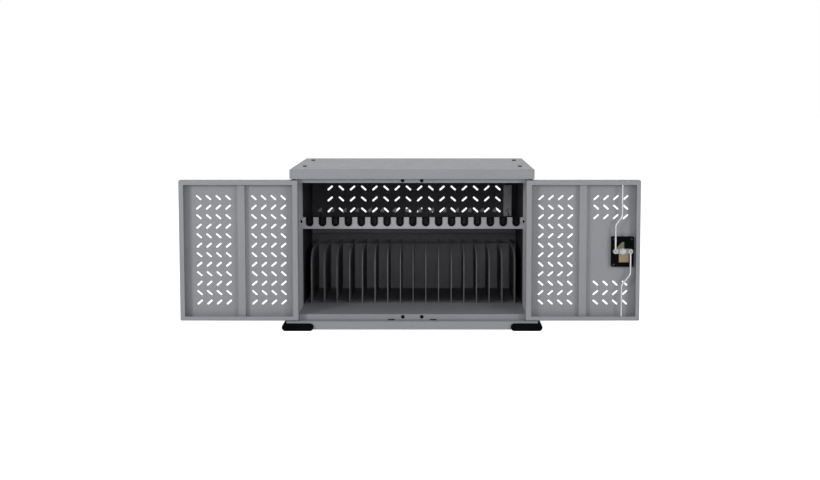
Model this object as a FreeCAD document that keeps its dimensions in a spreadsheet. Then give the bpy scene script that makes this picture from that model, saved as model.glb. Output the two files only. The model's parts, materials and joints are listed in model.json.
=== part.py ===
import FreeCAD, Part
import Sketcher
import math
import os
import re

# A charging cabinet with two slotted doors, modelled with both doors swung fully open.
# X runs to the right, Y to the back and Z up. The origin is on the floor, under the middle of the carcass.

# Driving sizes in millimetres.
SIZES = {
    # Sheet metal, clearances and cuts
    "skin": "1.5",
    "overrun": "5",
    "run_gap": "0.3",
    "snug": "0.05",
    # Lid and carcass
    "cabinet_height": "452",
    "lid_width": "678",
    "lid_depth": "400",
    "lid_skirt": "27.2",
    "lid_bend": "3",
    "stack_inset_x": "33",
    "stack_inset_y": "92",
    "stack_hole_radius": "4.5",
    "collar_wall": "0.9",
    "collar_height": "2.6",
    "side_inset": "2",
    "post_width": "15.5",
    "rail_height": "13.1",
    "rail_return": "18",
    "comb_setback": "145",
    "tray_setback": "28",
    "post_hole_radius": "3",
    "post_hole_setback": "70",
    "post_hole_rise": "28",
    # Base, sill and feet
    "base_ledge": "12",
    "base_height": "26.1",
    "base_clearance": "3.3",
    "base_bend": "2",
    "sill_height": "14.6",
    "foot_width": "88",
    "foot_height": "20.8",
    "foot_depth": "70",
    "foot_overhang_x": "12",
    "foot_overhang_y": "6",
    "foot_round": "10.2",
    # Shelf, comb and its trims
    "shelf_drop": "146.2",
    "comb_height": "33.8",
    "notch_margin": "20",
    "notch_width": "18",
    "notch_ledge": "9",
    "trim_gap": "10",
    "trim_lap": "2",
    "trim_depth": "5",
    # Dividers, their rear rail and the cable clips
    "divider_thickness": "2",
    "divider_drop": "68",
    "divider_setback": "3",
    "divider_round": "50",
    "divider_rail_lap": "13",
    "divider_rail_height": "32",
    "divider_rail_depth": "7",
    "clip_setback": "104",
    "clip_stem": "3",
    "clip_height": "47",
    "clip_foot": "10",
    "flag_width": "11",
    "flag_height": "12.3",
    "flag_step": "4.9",
    "flag_crest": "3",
    # Power strip and its outlets
    "strip_inset": "67.5",
    "strip_depth": "40",
    "strip_height": "40",
    "strip_drop": "30",
    "strip_wall": "2",
    "outlet_margin": "22.5",
    "outlet_gap": "7",
    "outlet_depth": "16",
    "blade_width": "1.8",
    "blade_height": "7",
    "blade_pitch": "12.7",
    "earth_radius": "1.9",
    "earth_margin": "5.5",
    "contact_depth": "12",
    # Power inlet, rocker switch and breaker button
    "inlet_inset": "27.5",
    "inlet_rise": "53.9",
    "inlet_width": "30",
    "inlet_height": "104",
    "inlet_plate": "2",
    "core_width": "24",
    "core_height": "96",
    "core_depth": "26",
    "socket_drop": "25",
    "socket_width": "16",
    "socket_height": "24",
    "socket_recess": "17",
    "contact_width": "2",
    "contact_height": "4",
    "contact_length": "11",
    "contact_pitch": "7",
    "rocker_rise": "14",
    "rocker_width": "12",
    "rocker_height": "18",
    "rocker_inside": "4",
    "rocker_outside": "5",
    "rocker_dish": "1.5",
    "rocker_play": "1.2",
    "rocker_tilt": "8",
    "rocker_pivot": "2.2",
    "trunnion_radius": "1.4",
    "trunnion_length": "1.5",
    "button_rise": "36",
    "button_radius": "4",
    "button_inside": "6",
    "button_outside": "4",
    "button_travel": "2.5",
    "back_screw_margin": "42.5",
    "screw_radius": "2",
    "screw_head_radius": "4",
    "screw_head": "1.8",
    # Door pans
    "door_thickness": "25",
    "door_gap_top": "3.6",
    "door_gap_bottom": "1.5",
    "landing_gap": "0.5",
    "door_bend": "3",
    "hinge_outset": "1",
    "hinge_overlap": "4.5",
    "door_split": "4.5",
    "door_seam": "4",
    "left_free_lip": "13.5",
    "right_free_lip": "11.5",
    "hinge_lip": "15",
    "top_lip": "13",
    "bottom_lip": "12",
    # Door slots and back slots
    "slot_length": "19",
    "slot_width": "5",
    "slot_pitch_x": "27.25",
    "slot_pitch_z": "26.8",
    "slot_drop": "50.7",
    "slot_rise": "40",
    "hinge_field": "38.8",
    "field_before": "32",
    "field_after": "38",
    "lock_clearing": "80",
    "back_slot_length": "20.5",
    "back_slot_width": "5.6",
    "back_slot_pitch_x": "35.15",
    "back_slot_pitch_z": "34.6",
    "back_slot_margin": "54",
    "back_slot_drop": "53.4",
    # Door stiffeners
    "stiffener_shift": "8.2",
    "stiffener_crown": "20.5",
    "stiffener_flange": "8",
    "stiffener_depth": "12",
    # Hinge pins, bushes and magnets
    "pin_radius": "2",
    "pin_head_radius": "4",
    "pin_head": "2",
    "bush_wall": "0.8",
    "bush_length": "8",
    "bush_flange": "1.2",
    "bush_flange_radius": "4.2",
    "magnet_x": "26.6",
    "magnet_web": "1.25",
    "magnet_depth": "4",
    # Lock on the right door
    "cam_inset": "47",
    "cam_drop": "2.4",
    "housing_width": "62",
    "housing_height": "84",
    "housing_drop": "2",
    "housing_bevel": "2",
    "spindle_radius": "5",
    "pin_spread": "42",
    "bar_width": "14",
    "bar_thickness": "2",
    "lobe_heel": "17.5",
    "lobe_toe": "3.5",
    "lobe_low": "10",
    "lobe_rise": "26",
    "lobe_crest": "6",
    "cam_pin_radius": "2.5",
    "cam_pin_head_radius": "3.8",
    "cam_pin_head": "0.8",
    "rod_radius": "2.75",
    "rod_line_inset": "3.3",
    "rod_bend": "18",
    "rod_tip_inset": "0.5",
    "rod_side_play": "6.5",
    "rod_end_play": "1.45",
    "eye_radius": "6",
    "eye_proud": "0.2",
    "lip_gap": "0.45",
    "upper_jog_start": "75",
    "upper_jog_end": "97",
    "lower_jog_start": "64",
    "lower_jog_end": "95",
    "plate_width": "60",
    "plate_height": "84",
    "plate_thickness": "4",
    "plate_bend": "3",
    "handle_hub_radius": "13",
    "handle_hub": "14",
    "grip_length": "80",
    "grip_height": "14",
    "grip_depth": "16",
    "grip_bend": "5",
    "barrel_width": "28",
    "barrel_height": "24",
    "key_side": "3.5",
    "key_drop": "21",
    "plug_radius": "6",
    "plug_inside": "8",
    "plug_proud": "1",
    "key_slot_width": "2",
    "key_slot_height": "8",
    "key_slot_depth": "5",
    "lock_screw_radius": "1.5",
    "lock_screw_head_radius": "3",
    "lock_screw_head": "1.2",
    "lock_screw_length": "6",
    "lock_screw_inset": "6",
}

# How many of each repeated thing there are.
NOTCH_COUNT = 17
CLIP_COUNT = NOTCH_COUNT - 1
OUTLET_COUNT = 16
BACK_SLOT_ROWS = 3
BACK_SCREWS = 5

# Places worked out from the driving sizes.
PLACES = {
    "collar_top": "cabinet_height + collar_height",
    "lid_low": "cabinet_height - lid_skirt",
    "roof": "cabinet_height - skin",
    "front": "-lid_depth / 2",
    "back_outer": "lid_depth / 2 - skin",
    "back_inner": "back_outer - skin",
    "landing": "front + door_thickness + landing_gap",
    "comb_front": "front + comb_setback",
    "comb_back": "comb_front + skin",
    "tray_front": "comb_front + tray_setback",
    "stack_x": "lid_width / 2 - stack_inset_x",
    "stack_y": "lid_depth / 2 - stack_inset_y",
    "base_side": "lid_width / 2 + base_ledge",
    "wall_out": "lid_width / 2 - side_inset - skin",
    "wall_in": "wall_out - post_width",
    "floor_top": "base_height + sill_height",
    "opening_top": "lid_low - rail_height",
    "shelf_level": "opening_top - shelf_drop",
    "shelf_top": "shelf_level + skin",
    "notch_pitch": f"2 * (wall_in - notch_margin) / {NOTCH_COUNT - 1}",
    "divider_high": "shelf_level - divider_drop",
    "divider_rail_low": "divider_high - divider_rail_lap",
    "divider_front": "tray_front + divider_setback",
    "divider_back": "back_inner - divider_rail_depth",
    "strip_high": "cabinet_height - strip_drop",
    "strip_front": "back_inner - strip_depth",
    "strip_side": "wall_in - strip_inset",
    "outlet_pitch": f"2 * (strip_side - outlet_margin) / {OUTLET_COUNT - 1}",
    "outlet_size": "outlet_pitch - outlet_gap",
    "earth_drop": "outlet_size / 2 - earth_margin",
    "inlet_x": "wall_in - inlet_inset",
    "inlet_level": "shelf_top + inlet_rise",
    "inlet_face": "back_outer + inlet_plate",
    "rocker_axis": "inlet_face - rocker_pivot",
    "rocker_level": "inlet_level + rocker_rise",
    "button_level": "inlet_level + button_rise",
    "socket_level": "inlet_level - socket_drop",
    "button_bore": "button_inside + button_travel + run_gap",
    "back_screw_pitch": f"2 * (wall_in - back_screw_margin) / {BACK_SCREWS - 1}",
    "back_slot_level": "opening_top - back_slot_drop",
    "magnet_radius": "min(sill_height; rail_height) / 2 - magnet_web",
    "door_low": "base_height + door_gap_bottom",
    "door_high": "lid_low - door_gap_top",
    "door_back": "front + door_thickness",
    "door_inner": "door_back - skin",
    "hinge_x": "wall_in + hinge_outset",
    "hinge_y": "front + door_thickness / 2",
    "hinge_edge": "hinge_x - hinge_overlap",
    "bush_radius": "pin_radius + snug + bush_wall",
    "left_door_reach": "hinge_x + door_split",
    "right_door_reach": "hinge_x - door_split - door_seam",
    "stiffener_reach": "left_door_reach / 2 - stiffener_shift",
    "free_field": "stiffener_reach + field_after",
    "cam_x": "hinge_x + right_door_reach - cam_inset",
    "cam_level": "(door_low + door_high) / 2 - cam_drop",
    "eye_thickness": "2 * (rod_radius + eye_proud)",
    "rod_y": "front + skin + lip_gap + rod_radius",
    "rod_x": "cam_x - rod_line_inset",
    "rod_closed_x": "2 * hinge_x - rod_x",
    "rod_closed_y": "2 * hinge_y - rod_y",
    "rod_slot_length": "2 * (rod_radius + rod_side_play)",
    "rod_slot_width": "2 * (rod_radius + rod_end_play)",
    "guide_width": "2 * (rod_radius + lip_gap)",
    "bar_front": "rod_y + eye_thickness / 2 + run_gap",
    "bar_back": "bar_front + bar_thickness",
    "housing_front": "bar_back + run_gap",
    "housing_level": "cam_level - housing_drop",
    "plate_face": "door_back + plate_thickness",
    "hub_start": "plate_face + run_gap",
    "hub_end": "hub_start + handle_hub",
    "key_x": "cam_x + key_side",
    "key_level": "cam_level - key_drop",
    "screw_level": "base_height + (sill_height - skin) / 2",
    "spindle_bore": "spindle_radius + snug",
    "plug_bore": "plug_radius + snug",
}

SLANT = 41
X_AXIS = FreeCAD.Vector(1, 0, 0)
Y_AXIS = FreeCAD.Vector(0, 1, 0)
Z_AXIS = FreeCAD.Vector(0, 0, 1)
TURNS = {
    "x": FreeCAD.Rotation(Z_AXIS, X_AXIS),
    "y": FreeCAD.Rotation(X_AXIS, -90),
    "z": FreeCAD.Rotation(),
}

doc = FreeCAD.newDocument("charging_cabinet")
nodes = []


def spell(text, prefixes):
    """Write out the sheet that each named size in a formula is kept in."""
    def with_sheet(match):
        name = match.group(0)
        for prefix, table in prefixes:
            if name in table:
                return prefix + name
        return name
    return re.sub(r"[a-z_]+", with_sheet, text)


def make_sheet(name, table, prefixes, lead):
    """A spreadsheet with one named cell for each entry of a table."""
    sheet = doc.addObject("Spreadsheet::Sheet", name)
    for row, (alias, text) in enumerate(table.items(), start=1):
        sheet.set(f"A{row}", alias)
        sheet.set(f"B{row}", lead + spell(text, prefixes))
        sheet.setAlias(f"B{row}", alias)
    return sheet


dims = make_sheet("dims", SIZES, [], "")
places = make_sheet("places", PLACES, [("dims.", SIZES)], "=")
doc.recompute()


def size(name):
    """The present value of a named size or place."""
    sheet = dims if name in SIZES else places
    return float(sheet.get(name))


def bind(item, prop, text):
    """Tie one property to a formula of named sizes."""
    item.setExpression(prop, spell(text, [("dims.", SIZES), ("places.", PLACES)]))


def place(item, x, y, z):
    """Tie an object's place to three formulas."""
    bind(item, "Placement.Base.x", x)
    bind(item, "Placement.Base.y", y)
    bind(item, "Placement.Base.z", z)


def span(side, near, far):
    """The X range between two distances from the middle, on the right (1) or the left (-1)."""
    if side > 0:
        return (near, far)
    return (f"-({far})", f"-({near})")


def across(half):
    """The range from minus to plus one formula."""
    return (f"-({half})", half)


def node(item):
    """Keep an object as one of the finished pieces."""
    nodes.append(item)
    return item


def box(label, xs, ys, zs):
    """A block between two corners."""
    item = doc.addObject("Part::Box", label)
    for prop, (low, high) in zip(("Length", "Width", "Height"), (xs, ys, zs)):
        bind(item, prop, f"({high}) - ({low})")
    place(item, xs[0], ys[0], zs[0])
    return item


def cylinder(label, axis, radius, start, length):
    """A round bar from a start point along one axis."""
    item = doc.addObject("Part::Cylinder", label)
    item.Placement = FreeCAD.Placement(FreeCAD.Vector(), TURNS[axis])
    bind(item, "Radius", radius)
    bind(item, "Height", length)
    place(item, *start)
    return item


def group(label, items):
    """Several solids kept side by side."""
    item = doc.addObject("Part::Compound", label)
    item.Links = items
    return item


def fuse(label, items):
    """Several blocks joined to one solid."""
    item = doc.addObject("Part::MultiFuse", label)
    item.Shapes = items
    item.Refine = True
    return item


def cut(label, base, tools):
    """A block with tools taken out of it. The tools stay apart from one another."""
    item = doc.addObject("Part::Cut", label)
    item.Base = base
    item.Tool = tools[0] if len(tools) == 1 else group(label + "_tools", tools)
    return item


def rounded(label, base, radius_name, chosen):
    """A block with the chosen edges rounded by a named radius."""
    doc.recompute()
    item = doc.addObject("Part::Fillet", label)
    item.Base = base
    radius = size(radius_name)
    edges = enumerate(base.Shape.Edges, start=1)
    item.Edges = [(index, radius, radius) for index, edge in edges if chosen(edge, base.Shape)]
    return item


def every_edge(edge, shape):
    return True


def not_underneath(edge, shape):
    return edge.CenterOfMass.z > (shape.BoundBox.ZMin + shape.CenterOfMass.z) / 2


def along_y(edge, shape):
    return abs(edge.tangentAt(edge.FirstParameter).y) > 0.5


def shape_piece(label, shape):
    """A piece whose shape is worked out from the sheet in code."""
    item = doc.addObject("Part::Feature", label)
    item.Shape = shape
    return item


def outline(body, role, corners):
    """A closed outline of straight runs on an origin plane, each corner held by two formulas."""
    sketch = body.newObject("Sketcher::SketchObject", body.Name + "_outline")
    plane = [item for item in body.Origin.OriginFeatures if item.Role == role][0]
    sketch.AttachmentSupport = (plane, [""])
    sketch.MapMode = "FlatFace"
    turn = 2 * math.pi / len(corners)
    spots = [FreeCAD.Vector(math.cos(turn * i), math.sin(turn * i), 0) for i in range(len(corners))]
    for index, spot in enumerate(spots):
        sketch.addGeometry(Part.LineSegment(spot, spots[(index + 1) % len(spots)]))
    for index, corner in enumerate(corners):
        after = (index + 1) % len(corners)
        sketch.addConstraint(Sketcher.Constraint("Coincident", index, 2, after, 1))
        for kind, text in zip(("DistanceX", "DistanceY"), corner):
            start = spots[index].x if kind == "DistanceX" else spots[index].y
            number = sketch.addConstraint(Sketcher.Constraint(kind, -1, 1, index, 1, start))
            bind(sketch, f"Constraints[{number}]", text)
    return sketch


def section(label, role, corners, length):
    """A body padded from an outline."""
    body = doc.addObject("PartDesign::Body", label)
    sketch = outline(body, role, corners)
    pad = body.newObject("PartDesign::Pad", label + "_pad")
    pad.Profile = sketch
    bind(pad, "Length", length)
    return body


def slot_plug(length, width, depth):
    """A slot-shaped plug on the XY plane, its length along X, its depth along Z."""
    radius = width / 2
    straight = length / 2 - radius
    corners = [FreeCAD.Vector(x, y, 0) for x, y in (
        (-straight, -radius), (straight, -radius), (straight, radius), (-straight, radius))]
    right = Part.Arc(corners[1], FreeCAD.Vector(straight + radius, 0, 0), corners[2])
    left = Part.Arc(corners[3], FreeCAD.Vector(-straight - radius, 0, 0), corners[0])
    runs = [Part.LineSegment(corners[0], corners[1]), right, Part.LineSegment(corners[2], corners[3]), left]
    face = Part.Face(Part.Wire([run.toShape() for run in runs]))
    return face.extrude(FreeCAD.Vector(0, 0, depth))


def u_plug(width, height, depth):
    """A U-shaped plug, round below and open above, standing on Z = 0 with its depth along Y."""
    radius = width / 2
    left_top = FreeCAD.Vector(-radius, 0, height)
    left_low = FreeCAD.Vector(-radius, 0, radius)
    right_low = FreeCAD.Vector(radius, 0, radius)
    right_top = FreeCAD.Vector(radius, 0, height)
    bend = Part.Arc(left_low, FreeCAD.Vector(), right_low)
    runs = [Part.LineSegment(left_top, left_low), bend, Part.LineSegment(right_low, right_top),
            Part.LineSegment(right_top, left_top)]
    face = Part.Face(Part.Wire([run.toShape() for run in runs]))
    return face.extrude(FreeCAD.Vector(0, depth, 0))


def copies(shape, spots):
    """One shape repeated at several placements."""
    result = []
    for spot in spots:
        item = shape.copy()
        item.Placement = spot
        result.append(item)
    return Part.makeCompound(result)


def shifted(x, y, z):
    return FreeCAD.Placement(FreeCAD.Vector(x, y, z), FreeCAD.Rotation())


def centred(count, pitch):
    """Evenly spaced places about zero."""
    return [(index - (count - 1) / 2) * pitch for index in range(count)]


def how_many(room, pitch):
    """How many places fit into a length at one pitch."""
    return 1 + math.floor(room / pitch)


def slanted(x, y, z, lean):
    """A slot's place in an upright sheet, leaning to the right (1) or to the left (-1)."""
    turn = FreeCAD.Rotation(X_AXIS, -90).multiply(FreeCAD.Rotation(Z_AXIS, -SLANT * lean))
    return FreeCAD.Placement(FreeCAD.Vector(x, y, z), turn)


def corner_holes(label, radius, low, high):
    """Four upright cylinders on the stacking pattern."""
    holes = []
    for x in across("stack_x"):
        for y in across("stack_y"):
            name = f"{label}_{len(holes) + 1}"
            holes.append(cylinder(name, "z", radius, (x, y, low), f"({high}) - ({low})"))
    return holes


def rod_slots(label, low, high):
    """Slots that take the lock rods of a closed door, one on each side of the middle."""
    length = size("rod_slot_length")
    width = size("rod_slot_width")
    plug = slot_plug(length, width, size(high) - size(low) + 2 * size("overrun"))
    start = size(low) - size("overrun")
    spots = [shifted(side * size("rod_closed_x"), size("rod_closed_y"), start) for side in (-1, 1)]
    return shape_piece(label, copies(plug, spots))


def pin_holes(label, low, high):
    """Upright plugs on the two hinge axes."""
    holes = []
    for x in across("hinge_x"):
        name = f"{label}_{len(holes) + 1}"
        holes.append(cylinder(name, "z", "pin_radius", (x, "hinge_y", low), f"({high}) - ({low})"))
    return holes


def make_lid():
    """The lid is a shallow pan with four stacking holes, each in a raised collar."""
    blank = box("lid_blank", across("lid_width / 2"), across("lid_depth / 2"), ("lid_low", "cabinet_height"))
    bent = rounded("lid_bent", blank, "lid_bend", not_underneath)
    hollow = box("lid_hollow", across("lid_width / 2 - skin"), across("lid_depth / 2 - skin"),
                 ("lid_low - overrun", "roof"))
    pan = cut("lid_pan", bent, [hollow])
    collars = corner_holes("lid_collar", "stack_hole_radius + collar_wall", "roof", "collar_top")
    raised = fuse("lid_raised", [pan] + collars)
    holes = corner_holes("lid_hole", "stack_hole_radius", "roof - overrun", "collar_top + overrun")
    node(cut("lid", raised, holes))


def make_side_panels():
    """The two outer side sheets run from the base to the lid."""
    for name, side in (("left_side_panel", -1), ("right_side_panel", 1)):
        node(box(name, span(side, "wall_out", "wall_out + skin"), ("landing", "back_inner"),
                 ("base_height", "roof")))


def make_back_panel():
    """The back sheet has three rows of slanted vents and a cut-out for the power inlet."""
    sheet = box("back_sheet", across("wall_out + skin"), ("back_inner", "back_outer"),
                ("base_height", "roof"))
    start = size("back_inner") - size("overrun")
    depth = size("skin") + 2 * size("overrun")
    plug = slot_plug(size("back_slot_length"), size("back_slot_width"), depth)
    pitch = size("back_slot_pitch_x")
    columns = how_many(2 * (size("wall_in") - size("back_slot_margin")), pitch)
    spots = []
    for row in range(BACK_SLOT_ROWS):
        level = size("back_slot_level") - row * size("back_slot_pitch_z")
        for column, x in enumerate(centred(columns, pitch)):
            spots.append(slanted(x, start, level, 1 if column % 2 == 0 else -1))
    vents = shape_piece("back_vents", copies(plug, spots))
    through = ("back_inner - overrun", "back_outer + overrun")
    window = box("inlet_window", ("inlet_x - core_width / 2", "inlet_x + core_width / 2"), through,
                 ("inlet_level - core_height / 2", "inlet_level + core_height / 2"))
    tools = [vents, window]
    for index in range(BACK_SCREWS):
        tools.append(cylinder(f"back_screw_hole_{index + 1}", "y", "screw_radius + snug",
                              (screw_x(index), through[0], "screw_level"), "skin + 2 * overrun"))
    node(cut("back_panel", sheet, tools))


def screw_x(index):
    """The place of one screw along the foot of the back panel."""
    return f"({index} - {(BACK_SCREWS - 1) / 2}) * back_screw_pitch"


def make_base():
    """The base is an upturned pan, wider than the lid, with slots for the lock rods."""
    blank = box("base_blank", across("base_side"), across("lid_depth / 2"), ("base_clearance", "base_height"))
    bent = rounded("base_bent", blank, "base_bend", not_underneath)
    hollow = box("base_hollow", across("base_side - skin"), across("lid_depth / 2 - skin"),
                 ("base_clearance - overrun", "base_height - skin"))
    pan = cut("base_open", bent, [hollow])
    through = ("base_height - skin - overrun", "base_height + overrun")
    tools = corner_holes("base_hole", "stack_hole_radius", *through)
    tools += pin_holes("base_pin_hole", *through)
    tools.append(rod_slots("base_rod_slots", "base_clearance", "base_height"))
    node(cut("base_pan", pan, tools))


def make_sill():
    """The sill is the light grey front of the floor, with two magnets let into its landing face."""
    corners = [("landing", "base_height"), ("landing + skin", "base_height"),
               ("landing + skin", "floor_top - skin"), ("tray_front - skin", "floor_top - skin"),
               ("tray_front - skin", "base_height"), ("tray_front", "base_height"),
               ("tray_front", "floor_top"), ("landing", "floor_top")]
    channel = section("sill_channel", "YZ_Plane", corners, "2 * wall_out")
    place(channel, "-wall_out", "0", "0")
    node(cut("bottom_sill", channel, magnet_holes("sill_magnet_hole", "base_height + sill_height / 2")))


def magnet_holes(label, level):
    """Plugs for the magnets in a landing face."""
    holes = []
    for x in across("magnet_x"):
        name = f"{label}_{len(holes) + 1}"
        start = (x, "landing - overrun", level)
        holes.append(cylinder(name, "y", "magnet_radius + snug", start, "skin + 2 * overrun"))
    return holes


def make_floor_tray():
    """The floor tray is a dark channel that carries the dividers."""
    corners = [("tray_front", "base_height"), ("tray_front + skin", "base_height"),
               ("tray_front + skin", "floor_top - skin"), ("back_inner - skin", "floor_top - skin"),
               ("back_inner - skin", "base_height"), ("back_inner", "base_height"),
               ("back_inner", "floor_top"), ("tray_front", "floor_top")]
    channel = section("tray_channel", "YZ_Plane", corners, "2 * wall_out")
    place(channel, "-wall_out", "0", "0")
    tools = []
    for index in range(BACK_SCREWS):
        start = (screw_x(index), "back_inner - skin - overrun", "screw_level")
        tools.append(cylinder(f"tray_screw_hole_{index + 1}", "y", "screw_radius + snug", start,
                              "skin + 2 * overrun"))
    node(cut("floor_tray", channel, tools))


def make_top_rail():
    """The top rail is a folded landing face up to the lid, with a ledge strip welded on over the doors."""
    corners = [("landing", "opening_top"), ("landing + rail_return", "opening_top"),
               ("landing + rail_return", "opening_top + skin"), ("landing + skin", "opening_top + skin"),
               ("landing + skin", "roof"), ("landing", "roof")]
    channel = section("rail_channel", "YZ_Plane", corners, "2 * wall_out")
    place(channel, "-wall_out", "0", "0")
    face = cut("rail_face", channel, magnet_holes("rail_magnet_hole", "opening_top + rail_height / 2"))
    strip = box("rail_strip", across("wall_out"), ("front + skin", "landing"), ("lid_low", "lid_low + skin"))
    tools = pin_holes("rail_pin_hole", "lid_low - overrun", "lid_low + skin + overrun")
    tools.append(rod_slots("rail_rod_slots", "lid_low", "lid_low"))
    node(group("top_rail", [face, cut("rail_ledge", strip, tools)]))


def make_posts():
    """Each post is a channel whose front is the landing face beside the opening."""
    for name, side in (("left_post", -1), ("right_post", 1)):
        near, inner, far = (f"{side} * ({text})" for text in ("wall_in", "wall_in + skin", "wall_out"))
        corners = [(near, "landing"), (far, "landing"), (far, "landing + skin"), (inner, "landing + skin"),
                   (inner, "comb_front - skin"), (far, "comb_front - skin"), (far, "comb_front"),
                   (near, "comb_front")]
        channel = section(name + "_channel", "XY_Plane", corners, "opening_top - floor_top")
        place(channel, "0", "0", "floor_top")
        low, high = span(side, "wall_in - overrun", "wall_in + skin + overrun")
        start = (low, "landing + post_hole_setback", "shelf_level + post_hole_rise")
        hole = cylinder(name + "_hole", "x", "post_hole_radius", start, f"({high}) - ({low})")
        node(cut(name, channel, [hole]))


def make_liners():
    """The liners are the dark inner walls behind the posts."""
    for name, side in (("left_liner", -1), ("right_liner", 1)):
        node(box(name, span(side, "wall_in", "wall_in + skin"), ("comb_front", "back_inner"),
                 ("floor_top", "opening_top")))


def make_feet():
    """Each foot is a soft pill that wraps round a corner of the base."""
    feet = []
    for side in (-1, 1):
        for end in (-1, 1):
            name = f"foot_{len(feet) + 1}"
            xs = span(side, "base_side + foot_overhang_x - foot_width", "base_side + foot_overhang_x")
            far = "lid_depth / 2 + foot_overhang_y"
            ys = span(end, far + " - foot_depth", far)
            blank = box(name + "_blank", xs, ys, ("0", "foot_height"))
            pill = rounded(name + "_pill", blank, "foot_round", along_y)
            seat = box(name + "_seat", across("base_side"), across("lid_depth / 2"),
                       ("base_clearance", "base_height"))
            feet.append(cut(name, pill, [seat]))
    node(group("feet", feet))


def make_shelf_and_comb():
    """The shelf carries the chargers; the comb on its front edge lets the leads through."""
    node(box("shelf", across("wall_in"), ("comb_back", "back_inner"), ("shelf_level", "shelf_top")))
    sheet = box("comb_sheet", across("wall_in"), ("comb_front", "comb_back"),
                ("shelf_level", "shelf_level + comb_height"))
    rise = size("comb_height") - size("notch_ledge")
    low = size("shelf_level") + size("notch_ledge")
    columns = centred(NOTCH_COUNT, size("notch_pitch"))
    notch = u_plug(size("notch_width"), rise + size("overrun"), size("skin") + 2 * size("overrun"))
    spots = [shifted(x, size("comb_front") - size("overrun"), low) for x in columns]
    node(cut("cable_comb", sheet, [shape_piece("comb_notches", copies(notch, spots))]))

    # Each trim is a soft moulding on the edge of its notch that laps over both faces of the sheet.
    lap = size("trim_lap")
    depth = size("trim_depth")
    width = size("notch_width") - 2 * size("snug")
    high = rise - size("snug")
    leaf = (depth - size("skin")) / 2 - size("snug")
    rim = u_plug(width + 2 * lap, high + lap, leaf)
    rims = copies(rim, [shifted(0, y, -lap) for y in (0, depth - leaf)])
    bore = u_plug(size("trim_gap"), rise, depth)
    bore.translate(FreeCAD.Vector(0, 0, (width - size("trim_gap")) / 2))
    trim = u_plug(width, high, depth).fuse(rims.Solids).cut(bore).removeSplitter()
    start = size("comb_front") + (size("skin") - depth) / 2
    spots = [shifted(x, start, low + size("snug")) for x in columns]
    node(shape_piece("comb_trims", copies(trim, spots)))


def make_dividers():
    """Upright dividers stand on the floor tray under the comb's notches."""
    corners = [("divider_front", "floor_top"), ("divider_back", "floor_top"),
               ("divider_back", "divider_high"), ("divider_front", "divider_high")]
    bodies = []
    for index in range(NOTCH_COUNT):
        body = section(f"divider_{index + 1:02d}", "YZ_Plane", corners, "divider_thickness")
        middle = f"({index} - {(NOTCH_COUNT - 1) / 2}) * notch_pitch"
        place(body, f"{middle} - divider_thickness / 2", "0", "0")
        bodies.append(body)
    doc.recompute()
    for body in bodies:
        edges = [edge.CenterOfMass for edge in body.Tip.Shape.Edges]
        corner = max(range(len(edges)), key=lambda index: edges[index].z - edges[index].y)
        bend = body.newObject("PartDesign::Fillet", body.Name + "_bend")
        bend.Base = (body.Group[1], [f"Edge{corner + 1}"])
        bind(bend, "Radius", "divider_round")
        node(body)


def make_divider_rail():
    """A channel across the back holds the dividers upright."""
    low = "divider_rail_low"
    high = "divider_rail_low + divider_rail_height"
    corners = [("divider_back", low), ("back_inner", low), ("back_inner", low + " + skin"),
               ("divider_back + skin", low + " + skin"), ("divider_back + skin", high + " - skin"),
               ("back_inner", high + " - skin"), ("back_inner", high), ("divider_back", high)]
    rail = section("divider_rail", "YZ_Plane", corners, "2 * wall_in")
    place(rail, "-wall_in", "0", "0")
    node(rail)


def make_clips():
    """Upright tabs on the shelf, each with a flag at its head, keep the leads apart."""
    sheet = size("skin")
    high = size("clip_height")
    wide = size("flag_width")
    stem = wide - size("clip_stem")
    low = high - size("flag_height")
    corners = [(stem, 0), (wide, 0), (wide, high), (wide - size("flag_crest"), high),
               (0, low + size("flag_step")), (0, low), (stem, low), (stem, 0)]
    wire = Part.makePolygon([FreeCAD.Vector(x, 0, z) for x, z in corners])
    tab = Part.Face(wire).extrude(FreeCAD.Vector(0, sheet, 0))
    foot = Part.makeBox(size("clip_stem"), size("clip_foot"), sheet, FreeCAD.Vector(stem, 0, 0))
    clip = tab.fuse(foot).removeSplitter()
    y = size("comb_front") + size("clip_setback")
    columns = centred(CLIP_COUNT, size("notch_pitch"))
    spots = [shifted(x - wide / 2, y, size("shelf_top")) for x in columns]
    node(shape_piece("cable_clips", copies(clip, spots)))


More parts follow.
